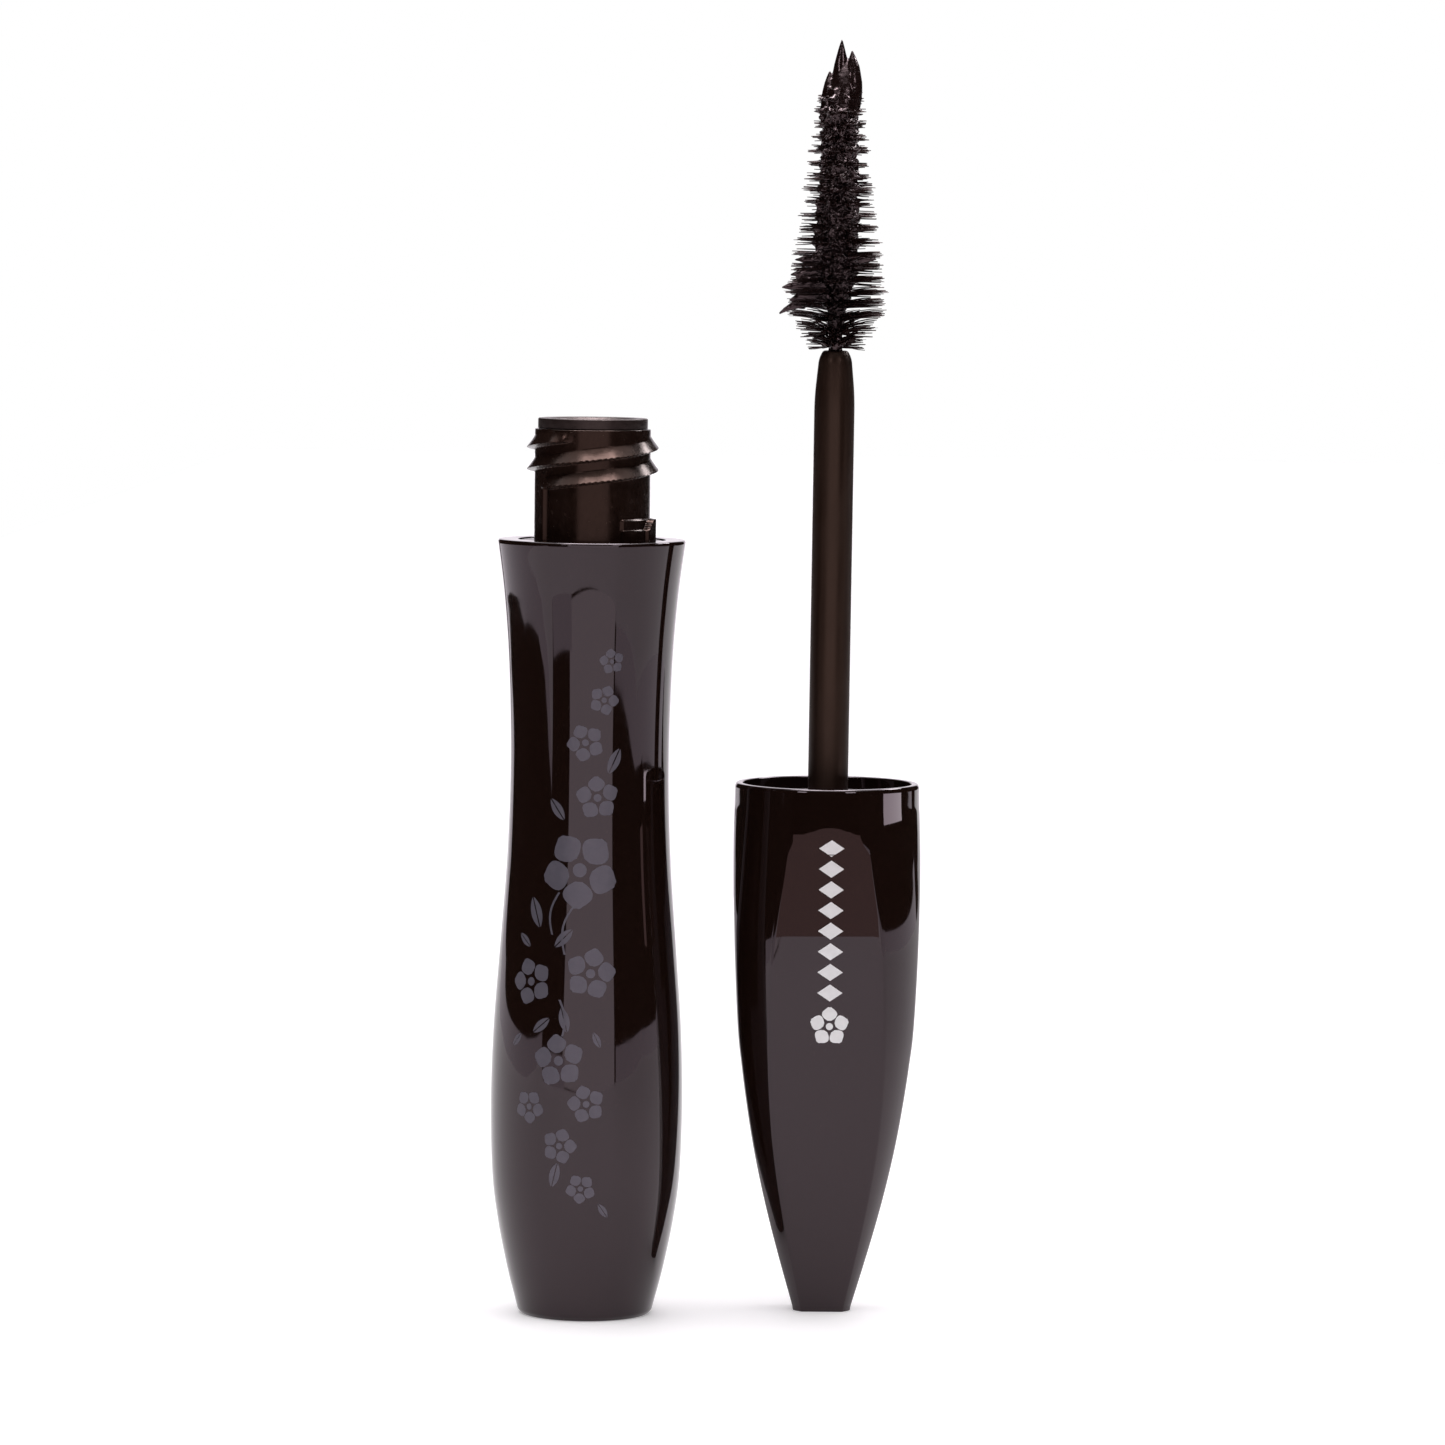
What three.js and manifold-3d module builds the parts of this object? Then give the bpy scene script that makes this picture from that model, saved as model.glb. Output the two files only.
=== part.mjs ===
// A mascara tube, opened: the bottle stands on its base, and beside it the applicator stands on the
// flat tip of its cap with the brush up. Millimetres, +Z up, -Y is the front.
import * as THREE from "three";
import { mergeVertices } from "three/addons/utils/BufferGeometryUtils.js";
import Module from "manifold-3d";

const wasm = await Module();
wasm.setup();

// ---------------------------------------------------------------- driving dimensions

const GAP = 0.3; // clearance between pieces that touch on the real object
const AXIS_SPACING = 23.5; // from the bottle's axis to the applicator's axis, along X
const AXIS_STAGGER = 4.4; // how far the applicator stands behind the bottle, along Y

// The bottle's outer shell is round: a belly, a waist and a flared shoulder. Each station is
// [height, radius].
const BOTTLE_STATIONS = [
  [1.4, 6.96],
  [4.6, 7.79],
  [9.3, 8.74],
  [14.1, 9.34],
  [21.3, 9.53],
  [28.4, 9.33],
  [35.6, 8.82],
  [45.1, 8.11],
  [54.7, 7.83],
  [64.2, 8.05],
  [71.4, 8.58],
  [76.8, 9.27],
];
const SHOULDER_Z = 77.0;
const RIM_RADIUS = 9.05; // outer edge of the flat rim on the shoulder
const FOOT_RADIUS = 6.3;
const FOOT_ROUNDING = 0.4;
// The space inside the shell, from its seat for the vial down to its foot.
const BOTTLE_CAVITY = [
  [75.2, 7.3],
  [74.6, 6.6],
  [40, 6.6],
  [30, 6.9],
  [12, 6.9],
  [5, 6.4],
];
const PLUG_RADIUS = 5.0;
const PLUG_TOP = 2.4;
const LABEL = { radius: 3.6, bottom: 0.1, top: 0.25 };
const LABEL_RECESS = { radius: 3.9, depth: 0.6 };

// The vial inside it, and the threaded neck that stands above the shoulder.
const VIAL_RADIUS = 6.1;
const VIAL_BORE = 5.3;
const VIAL_BOTTOM = 3.6;
const VIAL_FLOOR = VIAL_BOTTOM + 1.2;
const COLLAR = { radius: 7.0, bottom: 75.5, top: 76.9 }; // seated in the shell's shoulder
const NECK_RADIUS = 5.72;
const NECK_BORE = 4.7;
const NECK_TOP = 87.9;
const THREAD_CREST = 6.5;
const THREAD_LEAD = 4.35;
const THREAD_STARTS = 2;
const THREAD_Z = 82.15; // where each start begins
const THREAD_TURN = 0.95; // turns of each start
const RIB = { angle: -52, span: 4, radius: 6.15, height: 6 };
const LUG = { start: 31, span: 49 }; // degrees to the right of the front
const ROOTED = 0.4; // how far the neck's ribs and ridges run into its wall

// The paste left in the vial, with the hollow that the brush has made in it.
const PASTE_TOP = 62;
const PASTE_BORE = 3.2;

// The wiper, a soft sleeve whose lip strips the stem.
const WIPER_RIM = 5.4;
const WIPER_RIM_TOP = 88.95;
const WIPER_SLEEVE = 4.35;
const WIPER_BORE = 3.6;
const WIPER_LIP = 2.2;
const WIPER_BOTTOM = 77.0;

// The cap is round at its mouth and four-sided below. Each station is [height, half width], from
// the axis to the middle of a side.
const CAP_STATIONS = [
  [0.5, 2.93],
  [4.9, 4.2],
  [8.9, 5.29],
  [12.9, 6.26],
  [16.9, 7.09],
  [20.9, 7.76],
  [24.9, 8.32],
  [28.9, 8.75],
  [36.9, 9.13],
  [44.9, 9.28],
  [52.5, 9.17],
];
const CAP_TURN = 2.5; // degrees from the front to the middle of the front facet
const CAP_LENGTH = 52.8;
const CAP_TIP_RADIUS = 2.85;
// Over the half width, at each height: how far the corners stand out, and how far the front and
// back facets are from the axis. Both facets start in an arch a little below the mouth.
const CORNER_REACH = [
  [0, 1.12],
  [29, 1.12],
  [38, 1.08],
  [46.4, 1.035],
  [48.7, 1],
  [CAP_LENGTH, 1],
];
const FACET_REACH = [
  [0, 0.86],
  [6.5, 0.86],
  [16, 0.88],
  [29, 0.92],
  [38, 0.915],
  [46.4, 0.925],
  [48.7, 1],
  [CAP_LENGTH, 1],
];
const CAP_MOUTH = { radius: 8.95, bore: 8.4, step: 47.6 };
const CAP_BORE = 7.5;
// The space inside the cap, below the step of its mouth.
const CAP_CAVITY = [
  [47.0, CAP_BORE],
  [37.5, CAP_BORE],
  [29.5, 6.5],
  [20, 5.3],
  [12.5, 4.0],
  [6, 2.4],
  [2.4, 1.5],
  [2.2, 0],
];
const WEIGHT = { radius: 3.5, bottom: 13.6, top: 28 };
const INSERT_BOTTOM = 36.8;
const INSERT_TOP = 51.6;
const SOCKET_ROOT = 6.85;
const SOCKET_CREST = 6.15;
const SOCKET_FLOOR = 39.4;
const SOCKET_THREAD_Z = 42.0;
const SOCKET_THREAD_TURN = 0.8;
const WASHER_THICKNESS = 0.8;

// The wand: stem, wire and brush.
const STEM_RADIUS = 2.0;
const STEM_HEAD = { radius: 3.4, bottom: 33.0, top: 36.4 }; // the flange under the insert
const STEM_TOP = 95.8;
const STEM_BORE = 0.95;
// The stem's rounded end, as [height, radius].
const STEM_NOSE = [
  [92.6, STEM_RADIUS],
  [93.8, 1.9],
  [94.9, 1.65],
  [STEM_TOP, 1.3],
];
const WIRE_RADIUS = 0.28;
const WIRE_FOOT = 88.2;
const WIRE_TURNS = 13;
const CLUMP_ROOT = 122.1;
const BRUSH_END = 126.8; // tip of the clump on the brush
const BRISTLE_TURNS = 20;
const BRUSH_BOTTOM = 96.9;
const BRUSH_TOP = 121.0;
const BRUSH_TIP_RADIUS = 2.2;
const BRUSH_WIDEST = { height: 100.0, radius: 4.85 };
const STAR = { spikes: 12, thickness: 0.5, valley: 0.72, bore: 1.0 };
const SIDE_CLUMP = { start: -97, span: 14, bottom: 98.6, height: 3.4, root: 5.05, tip: 5.75 };

// ---------------------------------------------------------------- materials

const finish = (color, roughness, metalness = 0) =>
  new THREE.MeshStandardMaterial({ color, roughness, metalness });

const glossBlack = () => finish(0x1d1417, 0.12);
const neckBlack = () => finish(0x171113, 0.22);
const softBlack = () => finish(0x1a1617, 0.5);
const linerBlack = () => finish(0x141112, 0.35);
const pasteBlack = () => finish(0x0b090a, 0.25);
const bristleBlack = () => finish(0x0e0b0c, 0.4);
const bareSteel = () => finish(0x8c8c8f, 0.35, 1);
const labelWhite = () => finish(0xd8d6d2, 0.6);

// ---------------------------------------------------------------- shape helpers

const radians = THREE.MathUtils.degToRad;

// A curve through [height, radius] stations, as lathe points from the lowest to the highest.
function stationCurve(stations, steps) {
  return new THREE.SplineCurve(wall(stations)).getPoints(steps);
}

// Straight-line reading of a [height, value] table, level beyond its ends.
function valueAt(table, height) {
  const next = table.findIndex(([top]) => top >= height);
  if (next < 0) return table.at(-1)[1];
  if (next === 0) return table[0][1];
  const [lowHeight, low] = table[next - 1];
  const [highHeight, high] = table[next];
  return THREE.MathUtils.mapLinear(height, lowHeight, highHeight, low, high);
}

const profile = (...pairs) => pairs.map(([radius, height]) => new THREE.Vector2(radius, height));

// Lathe points of a [height, radius] table, in its own order.
const wall = (table) => table.map(([height, radius]) => new THREE.Vector2(radius, height));

// A turned solid about Z. A profile that doesn't end on the axis is closed on itself. Angles start
// at the front and grow to the right.
function turned(points, segments, turn = 0) {
  const outline = points[0].x > 0 ? [...points, points[0].clone()] : points;
  const lathe = new THREE.LatheGeometry(outline, segments, radians(turn));
  return lathe.rotateX(Math.PI / 2);
}

// The closed solid of a geometry, ready to be joined or cut.
function solid(geometry) {
  const bare = geometry.index ? geometry.toNonIndexed() : geometry.clone();
  bare.deleteAttribute("normal");
  bare.deleteAttribute("uv");
  const merged = mergeVertices(bare, 1e-4);
  const vertProperties = merged.attributes.position.array;
  const triVerts = new Uint32Array(merged.index.array);
  return new wasm.Manifold(new wasm.Mesh({ numProp: 3, vertProperties, triVerts }));
}

function geometryOf(manifold) {
  const { vertProperties, triVerts } = manifold.getMesh();
  const geometry = new THREE.BufferGeometry();
  geometry.setAttribute("position", new THREE.BufferAttribute(vertProperties, 3));
  geometry.setIndex(new THREE.BufferAttribute(triVerts, 1));
  return geometry;
}

const joined = (...geometries) =>
  geometryOf(geometries.map(solid).reduce((whole, next) => whole.add(next)));

// A box bent around Z. place(along, across, up) gives [angle in degrees, radius, height] for a
// point of the unit box: along and up run from 0 to 1, and across from 0 (inner) to 1 (outer).
function bentBox(steps, place) {
  const box = new THREE.BoxGeometry(1, 1, 1, steps, 1, 1);
  const position = box.attributes.position;
  for (let i = 0; i < position.count; i++) {
    const along = position.getX(i) + 0.5;
    const across = 0.5 - position.getY(i);
    const up = position.getZ(i) + 0.5;
    const [angle, radius, height] = place(along, across, up);
    const turn = radians(angle);
    position.setXYZ(i, radius * Math.sin(turn), -radius * Math.cos(turn), height);
  }
  return box;
}

// One start of a screw thread: a ridge that climbs to the right and fades in at both ends.
function threadRidge({ root, crest, bottom, turns, phase, width }) {
  const fade = 0.06;
  const lowest = 0.15;
  const crestWidth = 0.15;
  return bentBox(18, (along, across, up) => {
    const strength = Math.min(1, along / fade + lowest, (1 - along) / fade + lowest);
    const radius = across ? root + (crest - root) * strength : root;
    const reach = (up - 0.5) * (across ? crestWidth : width);
    return [phase + along * turns * 360, radius, bottom + along * turns * THREAD_LEAD + reach];
  });
}

const threadStarts = (ridge) =>
  Array.from({ length: THREAD_STARTS }, (_, start) =>
    threadRidge({ ...ridge, phase: ridge.phase + (start * 360) / THREAD_STARTS }),
  );

// ---------------------------------------------------------------- bottle

function bottleShell() {
  const foot = profile([FOOT_RADIUS, 0], [FOOT_RADIUS + FOOT_ROUNDING, FOOT_ROUNDING]);
  const rim = profile([RIM_RADIUS, SHOULDER_Z], [COLLAR.radius + GAP, SHOULDER_Z]);
  const plugHole = profile([PLUG_RADIUS + GAP, PLUG_TOP], [PLUG_RADIUS + GAP, 0]);
  const outside = stationCurve(BOTTLE_STATIONS, 22);
  return turned([...foot, ...outside, ...rim, ...wall(BOTTLE_CAVITY), ...plugHole], 36);
}

// The plug that closes the foot, with a shallow recess for the label.
function basePlug() {
  const { radius, depth } = LABEL_RECESS;
  const recess = profile([0, depth], [radius, depth], [radius, 0]);
  const rest = profile([PLUG_RADIUS, 0], [PLUG_RADIUS, PLUG_TOP], [0, PLUG_TOP]);
  return turned([...recess, ...rest], 24);
}

function baseLabel() {
  const { radius, bottom, top } = LABEL;
  return turned(profile([0, bottom], [radius, bottom], [radius, top], [0, top]), 24);
}

function vialBody() {
  const rounding = 1;
  const outside = profile(
    [0, VIAL_BOTTOM],
    [VIAL_RADIUS - rounding, VIAL_BOTTOM],
    [VIAL_RADIUS, VIAL_BOTTOM + rounding],
    [VIAL_RADIUS, COLLAR.bottom],
    [COLLAR.radius, COLLAR.bottom],
    [COLLAR.radius, COLLAR.top],
    [NECK_RADIUS, COLLAR.top],
    [NECK_RADIUS, NECK_TOP],
  );
  const inside = profile(
    [NECK_BORE, NECK_TOP],
    [NECK_BORE, COLLAR.bottom - 1],
    [VIAL_BORE, COLLAR.bottom - 3],
    [VIAL_BORE, VIAL_FLOOR + rounding],
    [VIAL_BORE - rounding, VIAL_FLOOR],
    [0, VIAL_FLOOR],
  );
  return turned([...outside, ...inside], 32);
}

// An upright guide from the shoulder to the start of the thread.
function guideRib() {
  const bottom = COLLAR.top - ROOTED;
  return bentBox(1, (along, across, up) => [
    RIB.angle + (along - 0.5) * RIB.span,
    across ? RIB.radius : NECK_RADIUS - ROOTED,
    bottom + up * RIB.height,
  ]);
}

// The stop that the cap's thread turns against: it grows taller and deeper to the right.
function stopLug() {
  const bottom = COLLAR.top - ROOTED;
  const depth = { low: 0.35, gain: 0.4 };
  const height = { low: 1.3, gain: 1.6 };
  return bentBox(5, (along, across, up) => [
    LUG.start + along * LUG.span,
    NECK_RADIUS + (across ? depth.low + along * depth.gain : -ROOTED),
    bottom + up * (height.low + along * height.gain),
  ]);
}

function vial() {
  const starts = threadStarts({
    root: NECK_RADIUS - ROOTED,
    crest: THREAD_CREST,
    bottom: THREAD_Z,
    turns: THREAD_TURN,
    phase: RIB.angle,
    width: 1.4,
  });
  return joined(vialBody(), guideRib(), stopLug(), ...starts);
}

function wiper() {
  const under = NECK_TOP + GAP;
  const wallTop = WIPER_BOTTOM + 2.5;
  const chamfer = 0.15;
  const leadIn = 0.7;
  const outside = profile(
    [WIPER_LIP + 0.5, WIPER_BOTTOM],
    [WIPER_SLEEVE, wallTop],
    [WIPER_SLEEVE, under],
    [WIPER_RIM, under],
    [WIPER_RIM, WIPER_RIM_TOP - chamfer],
    [WIPER_RIM - chamfer, WIPER_RIM_TOP],
  );
  const inside = profile(
    [WIPER_BORE + leadIn, WIPER_RIM_TOP],
    [WIPER_BORE, WIPER_RIM_TOP - leadIn],
    [WIPER_BORE, wallTop + GAP],
    [WIPER_LIP, WIPER_BOTTOM + 0.2],
  );
  return turned([...outside, ...inside], 28);
}

function mascaraFormula() {
  const outer = VIAL_BORE - GAP;
  const bottom = VIAL_FLOOR + GAP;
  const outside = profile(
    [0, bottom],
    [outer - 1, bottom],
    [outer, bottom + 1],
    [outer, PASTE_TOP - 4],
    [outer - 0.5, PASTE_TOP],
  );
  const hollow = profile([PASTE_BORE, PASTE_TOP - 2], [PASTE_BORE, 12], [PASTE_BORE - 1, 8], [0, 7]);
  return turned([...outside, ...hollow], 20);
}

// ---------------------------------------------------------------- cap

// The cap's outer radius over its half width: a circle through the corners, cut by two side
// facets at the half width and by the front and back facets.
function capReach(angle, height) {
  const turn = angle - radians(CAP_TURN);
  const side = 1 / Math.max(Math.abs(Math.sin(turn)), 1e-6);
  const front = valueAt(FACET_REACH, height) / Math.max(Math.abs(Math.cos(turn)), 1e-6);
  return Math.min(valueAt(CORNER_REACH, height), side, front);
}

// Gives the outer wall of a round solid the cap's four-sided section.
function squareOff(geometry, isOuter) {
  const position = geometry.attributes.position;
  for (let i = 0; i < position.count; i++) {
    const [x, y, z] = [position.getX(i), position.getY(i), position.getZ(i)];
    if (!isOuter(Math.hypot(x, y), z)) continue;
    const reach = capReach(Math.atan2(x, -y), z);
    position.setXYZ(i, x * reach, y * reach, z);
  }
  return geometry;
}

function capShell() {
  const outside = stationCurve(CAP_STATIONS, 20);
  const mouth = profile(
    [CAP_MOUTH.radius, CAP_LENGTH],
    [CAP_MOUTH.bore, CAP_LENGTH],
    [CAP_MOUTH.bore, CAP_MOUTH.step],
  );
  const tip = profile([0, 0], [CAP_TIP_RADIUS, 0]);
  const round = turned([...tip, ...outside, ...mouth, ...wall(CAP_CAVITY)], 40, CAP_TURN);
  return squareOff(round, (radius, height) => radius > valueAt(CAP_STATIONS, height) * 0.95);
}

function insertBody() {
  const neck = CAP_BORE - GAP;
  const mouth = CAP_MOUTH.bore - GAP;
  const rounding = 0.5;
  return turned(
    profile(
      [STEM_RADIUS + GAP, INSERT_BOTTOM],
      [neck - rounding, INSERT_BOTTOM],
      [neck, INSERT_BOTTOM + 1.4],
      [neck, CAP_MOUTH.step - GAP],
      [mouth, CAP_MOUTH.step + rounding],
      [mouth, INSERT_TOP],
      [SOCKET_ROOT + rounding, INSERT_TOP],
      [SOCKET_ROOT, INSERT_TOP - rounding],
      [SOCKET_ROOT, SOCKET_FLOOR],
      [STEM_RADIUS + GAP, SOCKET_FLOOR],
    ),
    32,
  );
}

function capInsert() {
  const ridges = threadStarts({
    root: SOCKET_ROOT + 0.2,
    crest: SOCKET_CREST,
    bottom: SOCKET_THREAD_Z,
    turns: SOCKET_THREAD_TURN,
    phase: 0,
    width: 1.2,
  });
  return joined(insertBody(), ...ridges.map(insideOut));
}

// A ridge that points inward is mirrored by its own radii, so its faces are turned round.
function insideOut(geometry) {
  const index = geometry.index.array;
  for (let i = 0; i < index.length; i += 3) {
    [index[i + 1], index[i + 2]] = [index[i + 2], index[i + 1]];
  }
  return geometry;
}

function capWeight() {
  const { radius, bottom, top } = WEIGHT;
  const chamfer = 0.3;
  const side = [
    [bottom, radius - chamfer],
    [bottom + chamfer, radius],
    [top - chamfer, radius],
    [top, radius - chamfer],
  ];
  return turned([...profile([0, bottom]), ...wall(side), ...profile([0, top])], 20);
}

function sealWasher() {
  const inner = STEM_RADIUS + 0.4;
  const outer = WIPER_RIM + 0.2;
  const bottom = SOCKET_FLOOR + GAP;
  const top = bottom + WASHER_THICKNESS;
  return turned(profile([inner, bottom], [outer, bottom], [outer, top], [inner, top]), 24);
}

// ---------------------------------------------------------------- wand

function stem() {
  const boreDepth = 8.2;
  const head = profile(
    [0, STEM_HEAD.bottom],
    [STEM_HEAD.radius, STEM_HEAD.bottom],
    [STEM_HEAD.radius, STEM_HEAD.top],
    [STEM_RADIUS, STEM_HEAD.top],
  );
  const bore = profile(
    [STEM_BORE, STEM_TOP],
    [STEM_BORE, STEM_TOP - boreDepth],
    [0, STEM_TOP - boreDepth],
  );
  return turned([...head, ...wall(STEM_NOSE), ...bore], 20);
}

// One wire, bent double at the tip, with its two legs twisted round each other.
function wireCore() {
  const bend = CLUMP_ROOT - GAP - WIRE_RADIUS;
  const legTop = bend - 0.4;
  const legOffset = WIRE_RADIUS + 0.06;
  const stepsPerLeg = 52;
  const points = [];
  for (let leg = 0; leg < 2; leg++) {
    for (let step = 0; step <= stepsPerLeg; step++) {
      const rise = leg ? 1 - step / stepsPerLeg : step / stepsPerLeg;
      const turn = rise * WIRE_TURNS * 2 * Math.PI + leg * Math.PI;
      const height = THREE.MathUtils.lerp(WIRE_FOOT, legTop, rise);
      const [x, y] = [legOffset * Math.cos(turn), legOffset * Math.sin(turn)];
      points.push(new THREE.Vector3(x, y, height));
    }
    if (!leg) points.push(new THREE.Vector3(0, 0, bend));
  }
  const section = new THREE.Shape().absarc(0, 0, WIRE_RADIUS, 0, 2 * Math.PI);
  const extrudePath = new THREE.CatmullRomCurve3(points);
  const options = { steps: points.length, curveSegments: 3, bevelEnabled: false, extrudePath };
  return new THREE.ExtrudeGeometry(section, options);
}

// The brush's outline: round at the bottom, then a straight taper to the tip.
function brushRadius(height) {
  const { height: widest, radius } = BRUSH_WIDEST;
  if (height < widest) {
    const bottom = BRUSH_BOTTOM - 0.9;
    const fall = (widest - height) / (widest - bottom);
    return radius * Math.sqrt(1 - fall * fall);
  }
  return THREE.MathUtils.mapLinear(height, widest, BRUSH_TOP, radius, BRUSH_TIP_RADIUS);
}

// One turn of bristle: a thin star with a hole for the wire.
function bristleTurn(radius, turn) {
  const star = new THREE.Shape();
  for (let i = 0; i < 2 * STAR.spikes; i++) {
    const reach = i % 2 ? radius * STAR.valley : radius;
    const angle = turn + (i * Math.PI) / STAR.spikes;
    const [x, y] = [reach * Math.cos(angle), reach * Math.sin(angle)];
    if (i) star.lineTo(x, y);
    else star.moveTo(x, y);
  }
  star.closePath();
  star.holes.push(new THREE.Path().absarc(0, 0, STAR.bore, 0, 2 * Math.PI, true));
  const options = { depth: STAR.thickness, curveSegments: 4, bevelEnabled: false };
  return new THREE.ExtrudeGeometry(star, options).translate(0, 0, -STAR.thickness / 2);
}

// The lump of dried mascara on the brush's end: one tall spire and a short one beside it.
function tipClump() {
  const waist = { radius: 1.9, height: CLUMP_ROOT + 0.8 };
  const shoulder = { radius: 0.7, height: CLUMP_ROOT + 2.8 };
  const body = turned(
    profile(
      [0, CLUMP_ROOT],
      [waist.radius - 0.2, CLUMP_ROOT],
      [waist.radius, waist.height],
      [shoulder.radius, shoulder.height],
      [0, BRUSH_END],
    ),
    8,
  );
  const spire = turned(profile([0, 0], [0.8, 0], [0.35, 1.5], [0, 2.9]), 6);
  spire.rotateY(radians(14)).translate(1.1, 0.1, CLUMP_ROOT + 0.3);
  return joined(body, spire);
}

function sideClump() {
  const { start, span, bottom, height, root, tip } = SIDE_CLUMP;
  const fall = 0.6;
  const pinch = 1.6;
  return bentBox(3, (along, across, up) => [
    start + along * span,
    across ? tip - Math.abs(along - 0.5) * fall : root,
    bottom + up * height + across * (0.5 - up) * pinch,
  ]);
}

// ---------------------------------------------------------------- assembly

function mesh(name, geometry, material) {
  const piece = new THREE.Mesh(geometry, material);
  piece.name = name;
  return piece;
}

function bottleGroup() {
  const group = new THREE.Group();
  group.add(
    mesh("bottle_shell", bottleShell(), glossBlack()),
    mesh("base_plug", basePlug(), softBlack()),
    mesh("base_label", baseLabel(), labelWhite()),
    mesh("vial", vial(), neckBlack()),
    mesh("wiper", wiper(), softBlack()),
    mesh("mascara_formula", mascaraFormula(), pasteBlack()),
  );
  return group;
}

function brushGroup() {
  const group = new THREE.Group();
  const pitch = (BRUSH_TOP - BRUSH_BOTTOM) / (BRISTLE_TURNS - 1);
  const halfSpike = Math.PI / STAR.spikes / 2;
  for (let i = 0; i < BRISTLE_TURNS; i++) {
    const height = BRUSH_BOTTOM + i * pitch;
    const turn = bristleTurn(brushRadius(height), i * halfSpike);
    const name = `bristle_turn_${String(i + 1).padStart(2, "0")}`;
    const piece = mesh(name, turn, bristleBlack());
    piece.position.z = height;
    group.add(piece);
  }
  group.add(
    mesh("wire_core", wireCore(), bareSteel()),
    mesh("tip_clump", tipClump(), pasteBlack()),
    mesh("side_clump", sideClump(), pasteBlack()),
  );
  return group;
}

function applicatorGroup() {
  const group = new THREE.Group();
  group.add(
    mesh("cap_shell", capShell(), glossBlack()),
    mesh("cap_insert", capInsert(), linerBlack()),
    mesh("cap_weight", capWeight(), bareSteel()),
    mesh("seal_washer", sealWasher(), softBlack()),
    mesh("stem", stem(), linerBlack()),
    brushGroup(),
  );
  return group;
}

const mascaraTube = new THREE.Group();
const bottle = bottleGroup();
const applicator = applicatorGroup();
bottle.position.set(-AXIS_SPACING / 2, -AXIS_STAGGER / 2, 0);
applicator.position.set(AXIS_SPACING / 2, AXIS_STAGGER / 2, 0);
mascaraTube.add(bottle, applicator);

// The origin is the middle of the whole object's box, on the surface that both parts stand on.
const middle = new THREE.Box3().setFromObject(mascaraTube).getCenter(new THREE.Vector3());
mascaraTube.position.set(-middle.x, -middle.y, 0);
mascaraTube.updateMatrixWorld(true);

export default mascaraTube;
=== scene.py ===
"""The looks of an opened mascara tube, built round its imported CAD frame.

The bottle stands on its foot, and beside it the applicator stands on its cap with the brush up.
Shapes are worked out in millimetres about the axis of the part they belong to, with angles that
start at the front (-Y) and grow to the right, and are put into the frame in metres.
"""

import math
import random

import bmesh
import bpy
import numpy as np
from mathutils import Matrix, Vector, noise


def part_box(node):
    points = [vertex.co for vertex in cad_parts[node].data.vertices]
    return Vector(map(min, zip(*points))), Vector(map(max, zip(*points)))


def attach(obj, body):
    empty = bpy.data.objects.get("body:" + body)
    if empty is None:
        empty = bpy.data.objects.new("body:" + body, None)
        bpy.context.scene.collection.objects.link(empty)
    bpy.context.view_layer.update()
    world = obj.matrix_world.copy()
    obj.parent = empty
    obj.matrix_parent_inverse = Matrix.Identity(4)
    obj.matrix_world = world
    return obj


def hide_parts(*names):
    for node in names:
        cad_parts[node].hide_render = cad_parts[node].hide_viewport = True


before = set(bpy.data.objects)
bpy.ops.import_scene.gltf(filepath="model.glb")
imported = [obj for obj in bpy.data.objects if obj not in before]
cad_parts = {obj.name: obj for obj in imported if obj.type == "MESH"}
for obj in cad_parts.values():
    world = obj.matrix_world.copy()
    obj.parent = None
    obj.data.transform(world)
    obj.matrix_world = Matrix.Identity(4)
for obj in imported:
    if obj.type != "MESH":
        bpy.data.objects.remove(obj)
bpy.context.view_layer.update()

MM = 0.001
TURN = 2 * math.pi
chance = random.Random(11)


# ---------------------------------------------------------------- places read from the frame


def axis_of(node):
    """Where a round CAD node's own axis meets the floor, in millimetres."""
    low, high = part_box(node)
    return np.array([(low.x + high.x) / 2, (low.y + high.y) / 2, 0.0]) / MM


def top_of(node):
    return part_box(node)[1].z / MM


BOTTLE_AXIS = axis_of("base_plug")
WAND_AXIS = axis_of("seal_washer")
SHOULDER = top_of("bottle_shell")
NECK_TOP = top_of("vial")
WIPER_TOP = top_of("wiper")
CAP_LENGTH = top_of("cap_shell")
INSERT_TOP = top_of("cap_insert")
STEM_TOP = top_of("stem")
BRUSH_END = top_of("tip_clump")

# ---------------------------------------------------------------- sizes in millimetres

# The bottle's outline as [height, radius].
BOTTLE_STATIONS = [
    [1.4, 6.96],
    [4.6, 7.79],
    [9.3, 8.74],
    [14.1, 9.34],
    [21.3, 9.53],
    [28.4, 9.33],
    [35.6, 8.82],
    [45.1, 8.11],
    [54.7, 7.83],
    [64.2, 8.05],
    [71.4, 8.58],
    [76.8, 9.27],
]
PLUG_HOLE = 5.3
COLLAR = {"radius": 7.0, "bottom": 75.5, "top": 76.9}
COLLAR_SEAT = 7.3

VIAL_RADIUS = 6.1
VIAL_BORE = 5.3
VIAL_BOTTOM = 3.6
NECK_RADIUS = 5.72
NECK_BORE = 4.7
NECK_BEVEL = 0.2
THREAD = {"crest": 0.8, "lead": 4.35, "starts": 2, "z": 82.15, "turns": 1.1, "angle": -52}

# The cap: half the width between its two side facets, as [height, half width].
CAP_STATIONS = [
    [0.5, 2.93],
    [4.9, 4.2],
    [8.9, 5.29],
    [12.9, 6.26],
    [16.9, 7.09],
    [20.9, 7.76],
    [24.9, 8.32],
    [28.9, 8.75],
    [36.9, 9.13],
    [44.9, 9.28],
    [52.5, 9.17],
]
CAP_TURN = math.radians(2.5)
CAP_TIP_RADIUS = 2.85
CAP_BORE = 8.4
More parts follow.
